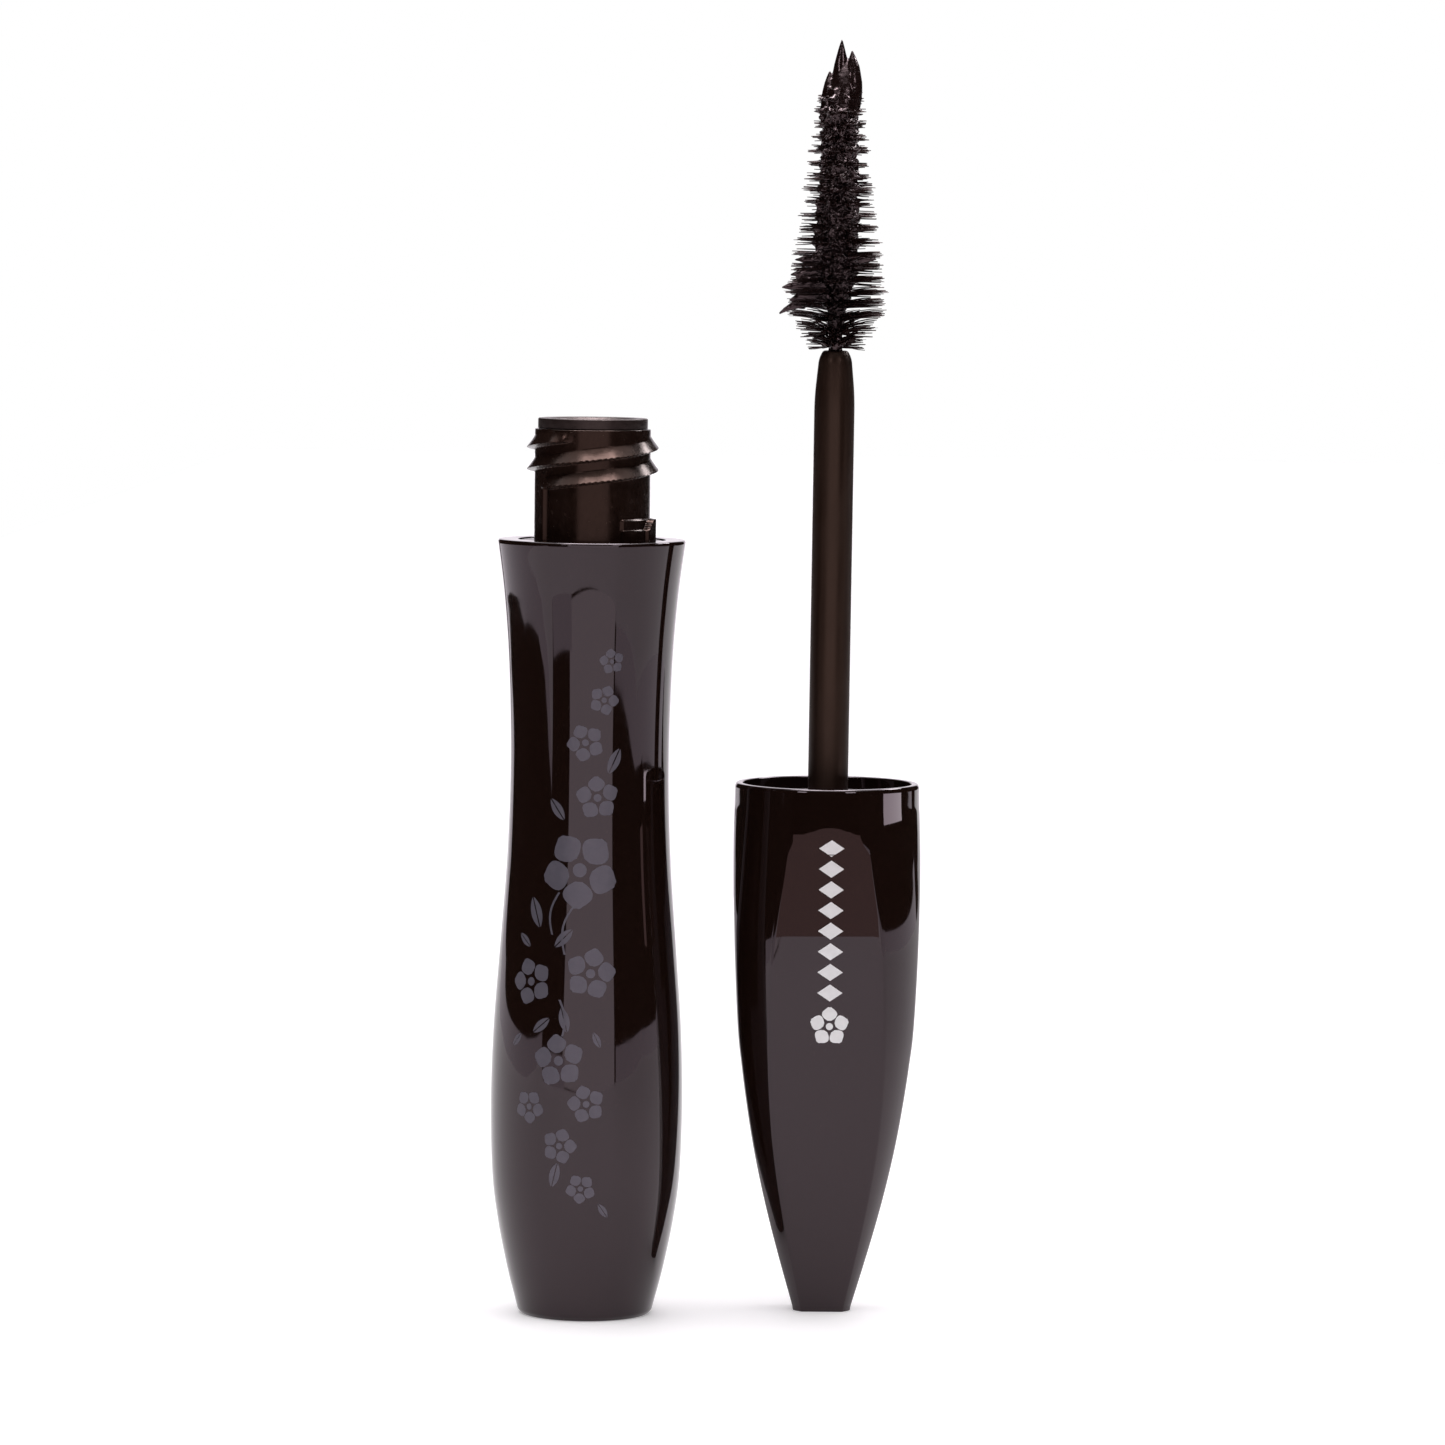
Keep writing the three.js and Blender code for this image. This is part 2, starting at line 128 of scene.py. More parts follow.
# Over the half width: how far the rounded corners stand out, and the front facet's distance.
CORNER_REACH = [[0, 1.12], [29, 1.12], [38, 1.08], [44, 1.035], [50.5, 1]]
FACET_REACH = [[0, 0.86], [6.5, 0.86], [16, 0.88], [29, 0.92], [38, 0.915], [46.4, 0.925]]
ARCH_TOP = 48.7

STEM_RADIUS = 2.0
WIRE = {"radius": 0.28, "bottom": 88.2, "top": 121.8, "turns": 13}
# The wand's stem leans to the right, by so much for each millimetre above the cap.
WAND_LEAN = 0.0073

# The brush's outline over its tiers of bristle, as [height, radius].
BRUSH_OUTLINE = [
    [96.2, 2.8],
    [97.3, 3.9],
    [98.6, 4.85],
    [100.2, 5.05],
    [105.5, 4.4],
    [110.6, 3.7],
    [115.6, 3.05],
    [121, 2.3],
]
TIERS = {"count": 20, "first": 96.35, "last": 120.7}
# The column of paste on the brush's core, as [height, radius].
PASTE_COLUMN = [
    [95.7, 0.68],
    [98.6, 0.8],
    [100.2, 1.0],
    [101.6, 1.5],
    [103.4, 1.9],
    [107, 1.95],
    [114, 1.75],
    [118, 1.7],
    [120, 1.65],
    [122, 1.1],
    [123, 0.6],
]

# ---------------------------------------------------------------- curves and skins


def catmull_rom(before, start, end, after, t):
    """The point at t on a smooth curve from start to end, given their neighbours."""
    out, back = (end - before) / 2, (after - start) / 2
    cubic = 2 * start - 2 * end + out + back
    square = -3 * start + 3 * end - 2 * out - back
    return cubic * t**3 + square * t**2 + out * t + start


def through(stations, steps):
    """Points [radius, height] of a smooth curve through [height, radius] stations."""
    points = np.array(stations, float)[:, ::-1]
    points = np.vstack([points[:1], points, points[-1:]])
    curve = []
    for span in zip(points, points[1:], points[2:], points[3:]):
        curve += [catmull_rom(*span, step / steps) for step in range(steps)]
    return np.array(curve + [points[-1]])


def smooth_read(table, at):
    """Reads a [height, value] table along a smooth curve, level beyond its ends."""
    heights, values = np.array(table, float).T
    slopes = np.gradient(values, heights)
    at = min(max(at, heights[0]), heights[-1])
    i = min(int(np.searchsorted(heights, at, side="right")) - 1, len(heights) - 2)
    span = heights[i + 1] - heights[i]
    t = (at - heights[i]) / span
    start = (1 + 2 * t) * (1 - t) ** 2 * values[i] + t * (1 - t) ** 2 * span * slopes[i]
    end = t**2 * (3 - 2 * t) * values[i + 1] + t**2 * (t - 1) * span * slopes[i + 1]
    return start + end


def eased(t):
    """A soft step from 0 to 1 as t goes from 0 to 1."""
    t = min(max(t, 0.0), 1.0)
    return t * t * (3 - 2 * t)


def rounded(*corners, steps=5):
    """A path through corners (radius, height, fillet), with each fillet drawn as a curve."""
    points = [np.array(corner[:2], float) for corner in corners]
    path = [points[0]]
    for i in range(1, len(points) - 1):
        here, fillet = points[i], corners[i][2]
        if not fillet:
            path.append(here)
            continue
        to_last, to_next = points[i - 1] - here, points[i + 1] - here
        start = here + to_last / np.linalg.norm(to_last) * fillet
        end = here + to_next / np.linalg.norm(to_next) * fillet
        for t in np.linspace(0, 1, steps + 1):
            path.append((1 - t) ** 2 * start + 2 * t * (1 - t) * here + t**2 * end)
    return np.array(path + [points[-1]])


def even_angles(sides):
    return np.arange(sides) * TURN / sides


def around(radius, angle, height):
    """Points at angles about Z, from the front to the right."""
    x, y = radius * np.sin(angle), -radius * np.cos(angle)
    return np.stack([x, y, np.broadcast_to(height, np.shape(x))], axis=-1)


def turned(path, sides):
    """The rings of a turned shape along a [radius, height] path."""
    angles = even_angles(sides)
    return np.array([around(radius, angles, height) for radius, height in path])


def skin(rings, loop=False):
    """A closed skin over rings of points: the last ring joins the first, or both ends are capped."""
    rows, sides = rings.shape[:2]
    grid = np.arange(rows * sides).reshape(rows, sides)
    faces = []
    for row in range(rows if loop else rows - 1):
        here, above = grid[row], grid[(row + 1) % rows]
        quads = np.stack([here, np.roll(here, -1), np.roll(above, -1), above], axis=1)
        faces += quads.tolist()
    if not loop:
        for end, ring in ((grid[0][::-1], rings[0]), (grid[-1], rings[-1])):
            if np.ptp(ring, axis=0).max() > 1e-6:
                faces.append(end.tolist())
    return rings.reshape(-1, 3), faces


def tube(path, radii, sides, reference=(0.0, 0.0, 1.0)):
    """The rings of a tube along a path. The reference is any direction that it never follows."""
    path = np.array(path, float)
    along = np.gradient(path, axis=0)
    along /= np.linalg.norm(along, axis=1)[:, None]
    across = np.cross(along, reference)
    across /= np.linalg.norm(across, axis=1)[:, None]
    upward = np.cross(across, along)
    angles = even_angles(sides)
    ring = across[:, None] * np.cos(angles)[:, None] + upward[:, None] * np.sin(angles)[:, None]
    return path[:, None] + ring * np.array(radii, float)[:, None, None]


def together(shells):
    """Several skins as one list of vertices and one of faces."""
    vertices, faces, count = [], [], 0
    for points, own_faces in shells:
        vertices.append(points)
        faces += [[index + count for index in face] for face in own_faces]
        count += len(points)
    return np.vstack(vertices), faces


def mesh_of(name, vertices, faces):
    mesh = bpy.data.meshes.new(name)
    mesh.from_pydata(vertices.tolist(), [], faces)
    shape = bmesh.new()
    shape.from_mesh(mesh)
    smallest = np.ptp(vertices, axis=0).max() * 1e-6
    bmesh.ops.remove_doubles(shape, verts=shape.verts, dist=smallest)
    bmesh.ops.recalc_face_normals(shape, faces=shape.faces)
    shape.to_mesh(mesh)
    shape.free()
    return mesh


def fused(shells, voxel):
    """One skin round closed shells that overlap, in millimetres."""
    lump = bpy.data.objects.new("lump", mesh_of("lump", *together(shells)))
    bpy.context.scene.collection.objects.link(lump)
    remesh = lump.modifiers.new("union", "REMESH")
    remesh.mode = "VOXEL"
    remesh.voxel_size = voxel
    made = lump.evaluated_get(bpy.context.evaluated_depsgraph_get()).to_mesh()
    vertices = np.array([v.co for v in made.vertices])
    faces = [list(face.vertices) for face in made.polygons]
    bpy.data.objects.remove(lump)
    return vertices, faces


def leaning(shells):
    """Skins of the wand, with all that stands above the cap's mouth leaning a little."""
    shifted = []
    for vertices, faces in shells:
        shift = WAND_LEAN * np.maximum(vertices[:, 2:] - CAP_LENGTH, 0)
        shifted.append((vertices + shift * (1.0, 0.0, 0.0), faces))
    return shifted


def piece(name, shells, axis, material, body, replaces=(), sharp=50):
    """Makes one visible piece from skins in millimetres about a part's axis."""
    vertices, faces = together(shells)
    mesh = mesh_of(name, (vertices + axis) * MM, faces)
    mesh.shade_smooth()
    mesh.set_sharp_from_angle(angle=math.radians(sharp))
    mesh.materials.append(material)
    obj = bpy.data.objects.new(name, mesh)
    bpy.context.scene.collection.objects.link(obj)
    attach(obj, body)
    if replaces:
        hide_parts(*replaces)
    return obj


# ---------------------------------------------------------------- materials


class Nodes:
    """A small helper for building a node tree round one Principled shader."""

    def __init__(self, name):
        self.material = bpy.data.materials.new(name)
        self.material.use_nodes = True
        self.tree = self.material.node_tree
        self.shader = self.tree.nodes["Principled BSDF"]
        self.place = self.tree.nodes.new("ShaderNodeTexCoord").outputs["Object"]

    def new(self, kind, **inputs):
        node = self.tree.nodes.new(kind)
        for socket, value in inputs.items():
            self.feed(node.inputs[socket.replace("_", " ")], value)
        return node

    def feed(self, socket, value):
        if isinstance(value, bpy.types.NodeSocket):
            self.tree.links.new(value, socket)
        else:
            socket.default_value = value

    def noise(self, per_mm, detail=3.0, stretch=(1, 1, 1)):
        """Cloudy noise, with so many features to the millimetre."""
        spread = self.new("ShaderNodeMapping", Vector=self.place, Scale=stretch)
        cloud = self.new("ShaderNodeTexNoise", Vector=spread.outputs[0])
        cloud.inputs["Scale"].default_value = per_mm / MM
        cloud.inputs["Detail"].default_value = detail
        return cloud.outputs["Fac"]

    def spots(self, per_mm, size):
        """Sparse round specks: 1 at the middle of a speck and 0 between them."""
        cells = self.new("ShaderNodeTexVoronoi", Vector=self.place, Scale=per_mm / MM)
        return self.between(cells.outputs["Distance"], size, size / 2, 0, 1)

    def between(self, value, low, high, to_low, to_high):
        spread = self.tree.nodes.new("ShaderNodeMapRange")
        self.feed(spread.inputs["Value"], value)
        for socket, number in zip(spread.inputs[1:5], (low, high, to_low, to_high)):
            socket.default_value = number
        return spread.outputs[0]

    def blend(self, factor, first, second):
        mix = self.tree.nodes.new("ShaderNodeMix")
        mix.data_type = "RGBA"
        self.feed(mix.inputs["Factor"], factor)
        self.feed(mix.inputs["A"], first)
        self.feed(mix.inputs["B"], second)
        return mix.outputs["Result"]

    def add(self, first, second):
        total = self.tree.nodes.new("ShaderNodeMath")
        self.feed(total.inputs[0], first)
        self.feed(total.inputs[1], second)
        return total.outputs[0]

    def bump(self, height, distance):
        bump = self.new("ShaderNodeBump", Height=height, Distance=distance * MM)
        self.feed(self.shader.inputs["Normal"], bump.outputs[0])


def colour(red, green, blue):
    return (red, green, blue, 1.0)


def plastic(name, deep, pale, roughness, mottle=0.6, relief=0.0, grain=2.0, dust=0.0, ior=1.5,
            tint=(1.0, 0.84, 0.93)):
    """Moulded plastic: a mottled colour, uneven gloss, fine relief and specks of dust."""
    nodes = Nodes(name)
    base = nodes.blend(nodes.noise(mottle), colour(*deep), colour(*pale))
    low, high = roughness
    gloss = nodes.between(nodes.noise(mottle * 1.7, 4), 0.3, 0.7, low, high)
    if dust:
        specks = nodes.spots(1.4, dust)
        base = nodes.blend(specks, base, colour(0.09, 0.075, 0.06))
        gloss = nodes.add(gloss, nodes.between(specks, 0, 1, 0, 0.3))
    nodes.feed(nodes.shader.inputs["Base Color"], base)
    nodes.feed(nodes.shader.inputs["Roughness"], gloss)
    nodes.shader.inputs["IOR"].default_value = ior
    nodes.shader.inputs["Specular Tint"].default_value = colour(*tint)
    if relief:
        nodes.bump(nodes.noise(grain, 4), relief)
    return nodes.material


def streaked(name, deep, pale, roughness, relief):
    """A rod with a thin film wiped along it: streaks that run up and down."""
    nodes = Nodes(name)
    streaks = nodes.noise(1.6, 3, stretch=(1, 1, 0.04))
    smear = nodes.between(nodes.noise(0.35, 4, stretch=(1, 1, 0.5)), 0.45, 0.7, 0, 1)
    base = nodes.blend(streaks, colour(*deep), colour(*pale))
    nodes.feed(nodes.shader.inputs["Base Color"], base)
    low, high = roughness
    gloss = nodes.add(nodes.between(streaks, 0.3, 0.7, low, high), nodes.between(smear, 0, 1, 0, 0.1))
    nodes.feed(nodes.shader.inputs["Roughness"], gloss)
    nodes.shader.inputs["IOR"].default_value = 1.38
    nodes.shader.inputs["Specular Tint"].default_value = colour(1.0, 0.66, 0.54)
    nodes.bump(streaks, relief)
    return nodes.material


def steel(name):
    nodes = Nodes(name)
    drawn = nodes.noise(3.0, 2, stretch=(1, 1, 0.1))
    base = nodes.blend(drawn, colour(0.38, 0.38, 0.39), colour(0.55, 0.55, 0.56))
    nodes.feed(nodes.shader.inputs["Base Color"], base)
    nodes.feed(nodes.shader.inputs["Roughness"], nodes.between(drawn, 0.3, 0.7, 0.25, 0.45))
    nodes.shader.inputs["Metallic"].default_value = 1.0
    return nodes.material


lacquer = plastic(
    "gloss_black_lacquer", (0.0085, 0.0036, 0.0026), (0.0105, 0.005, 0.0038), (0.02, 0.045),
    dust=0.045,
)
neck_plastic = plastic(
    "moulded_black_neck", (0.0095, 0.0042, 0.003), (0.016, 0.008, 0.006), (0.15, 0.28),
    mottle=1.0, relief=0.006, grain=2.5, dust=0.05, ior=1.32, tint=(1.0, 0.62, 0.52),
)
wiper_rubber = plastic(
    "black_wiper_rubber", (0.012, 0.007, 0.0065), (0.018, 0.011, 0.01), (0.3, 0.45),
    mottle=1.2, relief=0.015, grain=6.0, ior=1.42, tint=(1.0, 0.76, 0.74),
)
liner_plastic = plastic(
    "black_liner", (0.006, 0.004, 0.0035), (0.011, 0.008, 0.007), (0.25, 0.4),
    relief=0.01, grain=4.0,
)
stem_plastic = streaked(
    "wiped_black_stem", (0.011, 0.005, 0.0032), (0.021, 0.0105, 0.0072), (0.28, 0.42), 0.01
)
paste = plastic(
    "wet_mascara", (0.0065, 0.0022, 0.0019), (0.016, 0.0075, 0.007), (0.1, 0.26),
    mottle=2.2, relief=0.06, grain=1.4, ior=1.54, tint=(1.0, 0.75, 0.79),
)
fibre = plastic(
    "coated_nylon_fibre", (0.007, 0.0025, 0.002), (0.016, 0.0075, 0.0068), (0.05, 0.2),
    mottle=3.0, relief=0.03, grain=6.0, ior=1.42, tint=(1.0, 0.72, 0.7),
)
grey_print = plastic(
    "grey_print", (0.064, 0.06, 0.078), (0.088, 0.083, 0.104), (0.28, 0.42), mottle=1.5
)
white_print = plastic(
    "white_print", (0.8, 0.79, 0.8), (0.92, 0.91, 0.92), (0.35, 0.5), mottle=1.5
)
paper = plastic(
    "white_paper", (0.62, 0.61, 0.58), (0.76, 0.75, 0.72), (0.55, 0.7), mottle=2.0, relief=0.01
)
wire_steel = steel("drawn_steel")

# ---------------------------------------------------------------- the bottle


BOTTLE_SIDE = through(BOTTLE_STATIONS, 14)


def bottle_outline():
    """The bottle's section: up its outside and down its inside."""
    foot = rounded((PLUG_HOLE, 0, 0), (6.3, 0, 0.2), (6.7, 0.4, 0.2), (6.96, 1.4, 0))[:-1]
    rim = rounded(
        BOTTLE_SIDE[-1].tolist() + [0], (9.2, SHOULDER, 0.14), (COLLAR_SEAT, SHOULDER, 0.08),
        (COLLAR_SEAT, SHOULDER - 1.8, 0),
    )[1:]
    cavity = [(6.6, 74.6), (6.6, 40), (6.9, 30), (6.9, 12), (6.4, 5), (PLUG_HOLE, 2.4)]
    return np.vstack([foot, BOTTLE_SIDE, rim, cavity])


def bottle_radius(height):
    return np.interp(height, BOTTLE_SIDE[:, 1], BOTTLE_SIDE[:, 0])


def on_bottle(angle, height, lift):
    """Points on the bottle's side at angles in radians, lifted off it."""
    return around(bottle_radius(height) + lift, angle, height)


def make_bottle_shell():
    rings = turned(bottle_outline(), 192)
    piece(
        "bottle_outer_shell", [skin(rings, loop=True)], BOTTLE_AXIS, lacquer, "bottle",
        ["bottle_shell"],
    )


# ---------------------------------------------------------------- the threaded neck


def ridge_height(above):
    """A thread ridge's height over its root, by the distance above its crest."""
    under, slope, hollow = 0.22, 1.15, 1.15
    if above < 0:
        return eased(1 + above / under)
    return max(0.0, 1 - above / slope) ** hollow


def thread_relief(angle, height, thread):
    """How far the thread stands out at an angle in radians and a height."""
    best = 0.0
    fade, blunt = 0.07, 0.6
    for start in range(thread["starts"]):
        begin = math.radians(thread["angle"]) + start * TURN / thread["starts"]
        along = ((angle - begin) % TURN) / TURN
        while along < thread["turns"]:
            crest = thread["z"] + along * thread["lead"]
            strength = eased(min(along / fade + blunt, (thread["turns"] - along) / fade))
            best = max(best, strength * ridge_height(height - crest))
            along += 1
    return best * thread["crest"]


def rib_relief(angle, height):
    """The upright guide from the shoulder to the start of the thread."""
    middle, edge, foot, out = math.radians(THREAD["angle"] + 1.5), 0.028, 0.0504, 0.5
    off = abs((angle - middle + math.pi) % TURN - math.pi)
    return out * eased((foot - off) / edge) * (height < THREAD["z"] + 0.1)


def lug_relief(angle, height):
    """The stop: a low wall with a taller, deeper wedge at its right end."""
    low, wedge, high = (math.radians(a) for a in (31, 59, 80))
    step = math.radians(2.5)
    inside = eased((angle - low) / step) * eased((high - angle) / step)
    base = COLLAR["top"]
    tall_rim = 0.22 * eased((base + 2.3 - height) / 0.2)
    low_wall = 0.5 * eased((base + 1.25 - height) / 0.15)
    slant = base + 1.2 + 1.15 * eased((angle - wedge) / math.radians(13))
    spur = 0.8 * eased((slant - height) / 0.15) * eased((angle - wedge) / step)
    return inside * max(tall_rim, low_wall, spur)


def neck_rings(sides):
    """Rings up the neck, pushed out by the thread, the guide and the stop."""
    angles = even_angles(sides)
    step = 0.065
    rings = []
    for height in np.arange(COLLAR["top"], NECK_TOP - NECK_BEVEL, step):
        relief = [
            max(thread_relief(a, height, THREAD), rib_relief(a, height), lug_relief(a, height))
            for a in angles
        ]
        rings.append(around(NECK_RADIUS + np.array(relief), angles, height))
    return np.array(rings)


def make_vial():
    sides = 288
    below = rounded(
        (0, VIAL_BOTTOM, 0), (VIAL_RADIUS, VIAL_BOTTOM, 1.0), (VIAL_RADIUS, COLLAR["bottom"], 0),
        (COLLAR["radius"], COLLAR["bottom"], 0), (COLLAR["radius"], COLLAR["top"], 0.12),
        (NECK_RADIUS + 0.2, COLLAR["top"], 0),
    )
    above = rounded(
        (NECK_RADIUS, NECK_TOP - NECK_BEVEL, 0), (NECK_RADIUS, NECK_TOP, 0.12),
        (NECK_BORE, NECK_TOP, 0.12),
        (NECK_BORE, COLLAR["bottom"] - 1, 0), (VIAL_BORE, COLLAR["bottom"] - 3, 0),
        (VIAL_BORE, VIAL_BOTTOM + 1.2, 1.0), (0, VIAL_BOTTOM + 1.2, 0),
    )
    rings = np.vstack([turned(below, sides), neck_rings(sides), turned(above, sides)])
    piece("threaded_vial", [skin(rings)], BOTTLE_AXIS, neck_plastic, "bottle", ["vial"])


def make_wiper():
    rim, sleeve, bore, lip, bottom = 5.42, 4.35, 3.6, 2.2, 77.0
    path = rounded(
        (lip, bottom + 0.2, 0), (lip + 0.5, bottom, 0.1), (sleeve, bottom + 2.5, 0.5),
        (sleeve, NECK_TOP + 0.05, 0), (rim, NECK_TOP + 0.05, 0.08), (rim, WIPER_TOP, 0.14),
        (bore + 0.7, WIPER_TOP, 0.25), (bore, WIPER_TOP - 0.9, 0.4), (bore, bottom + 2.8, 0.5),
        (lip, bottom + 0.2, 0),
    )[:-1]
    rings = turned(path, 128)
    shells = [skin(rings, loop=True)]
    piece("wiper_sleeve", shells, BOTTLE_AXIS, wiper_rubber, "bottle", ["wiper"])


# ---------------------------------------------------------------- print on the bottle


def slab(top, bottom):
    """A thin closed body between two matching grids of points."""
    return skin(np.concatenate([top, bottom[:, ::-1]], axis=1))


def petal(size, start, broad, turn, notch=0.12):
    """A flat petal as a grid: from its foot, swelling to a round end with a small dent."""
    rows, columns = 9, 7
    grid = np.zeros((rows, columns, 2))
    for i, s in enumerate(np.linspace(0, 1, rows)):
        width = broad * size * math.sin(math.pi * (0.08 + 0.8 * s**0.85))
        for j, t in enumerate(np.linspace(-1, 1, columns)):
            reach = start + s * (1 - notch * (1 - abs(t)) * s**3) * (1 - start) * (1 - 0.18 * t * t * s)
            grid[i, j] = (t * width, reach * size)
    return spun(grid, turn)


def spun(grid, turn):
    """A flat grid turned about its origin."""
    x, y = grid[..., 0], grid[..., 1]
    cos, sin = math.cos(turn), math.sin(turn)
    return np.stack([x * cos - y * sin, x * sin + y * cos], -1)


def disc(radius):
    """A small round middle, as a grid of nested squares drawn out to a circle."""
    rows = np.linspace(-0.999, 0.999, 5)
    return np.array([[(x * math.sqrt(1 - y * y / 2), y * math.sqrt(1 - x * x / 2)) for x in rows]
                     for y in rows]) * radius


def blossom(size, turn):
    """A plain flower of five petals with gaps between them."""
    petals = [petal(size, 0.28, 0.36, turn + i * TURN / 5) for i in range(5)]
    return petals + [disc(0.17 * size)]


def leaf(size, turn):
    """A pointed leaf split along its midrib."""
    rows = 9
    halves = []
    for side in (-1, 1):
        grid = np.zeros((rows, 4, 2))
        for i, s in enumerate(np.linspace(0, 1, rows)):
            swell = 0.05 + 0.95 * math.sin(math.pi * s) ** 0.8
            inner = 0.045 * size * side
            outer = side * (0.06 + 0.38 * swell) * size
            for j, t in enumerate(np.linspace(0, 1, 4)):
                grid[i, j] = (inner + (outer - inner) * t, (2 * s - 1) * size)
        halves.append(spun(grid, turn))
    return halves


def stalk(length, bend, turn):
    """A curved stroke of even width."""
    rows, half = 9, 0.11
    s = np.linspace(0, 1, rows)
    middle = np.stack([bend * np.sin(math.pi * s), length * s], -1)
    return [spun(np.stack([middle - (half, 0), middle, middle + (half, 0)], 1), turn)]


# Where the flowers and leaves lie: degrees from the front, height, half width, and turn.
BLOSSOMS = [
    (17, 65.4, 1.35, 10), (12, 61.6, 1.6, 50), (-1, 57.4, 2.0, 25), (8, 52.0, 2.3, 5),
    (-4, 44.9, 4.1, 32), (-36, 33.8, 2.5, 20), (4, 34.8, 2.7, 60), (-15, 26.2, 2.8, 8),
    (-34, 21.5, 1.8, 40), (2, 22.0, 2.0, 15), (-14, 17.8, 1.9, 55), (-1, 13.6, 1.6, 30),
]
LEAVES = [
    (20, 55.6, 1.3, -25), (-21, 50.8, 1.2, 35), (-35, 40.6, 1.5, 20), (-43, 37.8, 0.9, 50),
    (-14, 38.2, 1.2, -45), (-27, 29.6, 1.1, -50), (-12, 30.2, 1.2, 15), (8, 28.3, 0.8, 25),
    (-45, 28.0, 0.8, -40), (-17, 14.9, 1.2, -15), (13, 11.4, 0.8, 35),
]
STALKS = [(-13, 36.6, 5.2, -0.8, -12), (-22, 38.5, 4.2, -0.6, -8), (-13, 28.6, 3.6, 0.4, 6)]
PRINT_LIFT = 0.012
PRINT_ROOT = -0.03


def wrapped(grid, angle, height):
    """Lays a flat grid on the bottle's side as a thin closed film."""
    angles = math.radians(angle) + grid[..., 0] / bottle_radius(height)
    heights = height + grid[..., 1]
    return slab(on_bottle(angles, heights, PRINT_LIFT), on_bottle(angles, heights, PRINT_ROOT))


def make_bottle_print():
    shells = []
    for angle, height, size, turn in BLOSSOMS:
        shells += [wrapped(grid, angle, height) for grid in blossom(size, math.radians(turn))]
    for angle, height, size, turn in LEAVES:
        shells += [wrapped(grid, angle, height) for grid in leaf(size, math.radians(turn))]
    for angle, height, length, bend, turn in STALKS:
        shells += [wrapped(grid, angle, height) for grid in stalk(length, bend, math.radians(turn))]
    piece("bottle_flower_print", shells, BOTTLE_AXIS, grey_print, "bottle")


# ---------------------------------------------------------------- the cap


def facet_reach(height):
    """The front facet's distance over the half width. It runs out in an arch below the mouth."""
    last, value = FACET_REACH[-1]
    if height > last:
        return value + (1 - value) * (height - last) / (ARCH_TOP - last)
    return smooth_read(FACET_REACH, height)


CAP_SIDE = through(CAP_STATIONS, 26)


def section_angles(corner, facet):
    """Angles round the cap, closest together on both sides of each facet's edge."""
    least, bevel = math.radians(8), math.radians(0.7)
    front = max(math.acos(min(1, facet / corner)), least)
    side = math.pi / 2 - max(math.acos(min(1, 1 / corner)), least)
    quarter = np.concatenate([
        np.linspace(0, front - bevel, 10),
        np.linspace(front + bevel, side - bevel, 18),
        np.linspace(side + bevel, math.pi / 2, 8),
    ])
    half = np.concatenate([quarter, math.pi - quarter[-2::-1]])
    return np.concatenate([half, TURN - half[-2:0:-1]])


def cap_ring(radius, height, outer):
    """One ring of the cap: four-sided outside and round inside."""
    corner, facet = smooth_read(CORNER_REACH, height), facet_reach(height)
    angles = section_angles(corner, facet)
    reach = np.ones_like(angles)
    if outer:
        side = 1 / np.maximum(np.abs(np.sin(angles)), 1e-6)
        front = facet / np.maximum(np.abs(np.cos(angles)), 1e-6)
        reach = np.minimum(corner, np.minimum(side, front))
    return around(radius * reach, angles + CAP_TURN, height)


def make_cap_shell():
    tip = rounded((0, 0, 0), (CAP_TIP_RADIUS, 0, 0.1), (2.93, 0.5, 0))[:-1]
    outside = np.vstack([tip, CAP_SIDE])
    mouth = rounded(
        (9.17, 52.5, 0), (9.02, CAP_LENGTH, 0.12), (CAP_BORE, CAP_LENGTH, 0.16), (CAP_BORE, 47.6, 0)
    )[1:]
    cavity = [
        (7.5, 47), (7.5, 37.5), (6.5, 29.5), (5.3, 20), (4, 12.5), (2.4, 6), (1.5, 2.4), (0, 2.2),
    ]
    rings = [cap_ring(radius, height, True) for radius, height in outside]
    rings += [cap_ring(radius, height, False) for radius, height in [*mouth, *cavity]]
    piece(
        "cap_outer_shell", [skin(np.array(rings))], WAND_AXIS, lacquer, "applicator",
        ["cap_shell"], sharp=60,
    )


def make_cap_insert():
    """The liner: its socket carries the thread that takes the bottle's neck."""
    sides, root, floor, bore = 144, 6.85, 39.4, STEM_RADIUS + 0.3
    thread = {"crest": 0.7, "lead": 4.35, "starts": 2, "z": 42.0, "turns": 1.0, "angle": 0}
    outside = rounded(
        (bore, 36.8, 0), (7.2, 36.8, 0.5), (7.2, 47.3, 0.2), (8.1, 48.1, 0.2), (8.1, INSERT_TOP, 0.2),
        (root + 0.5, INSERT_TOP, 0.2), (root, INSERT_TOP - 0.5, 0),
    )
    angles, step = even_angles(sides), 0.12
    socket = []
    for height in np.arange(INSERT_TOP - 0.6, floor, -step):
        relief = np.array([thread_relief(angle, height, thread) for angle in angles])
        socket.append(around(root - relief, angles, height))
    inside = turned([(root, floor), (bore, floor)], sides)
    rings = np.vstack([turned(outside, sides), np.array(socket), inside])
    piece(
        "threaded_cap_liner", [skin(rings, loop=True)], WAND_AXIS, liner_plastic, "applicator",
        ["cap_insert"],
    )


def on_facet(across, height, lift):
    """Points on the cap's front facet."""
    widths = np.interp(height, CAP_SIDE[:, 1], CAP_SIDE[:, 0])
    distance = widths * np.vectorize(facet_reach)(height) + lift
    x = across * math.cos(CAP_TURN) + distance * math.sin(CAP_TURN)
    y = across * math.sin(CAP_TURN) - distance * math.cos(CAP_TURN)
    return np.stack([x, y, height], -1)


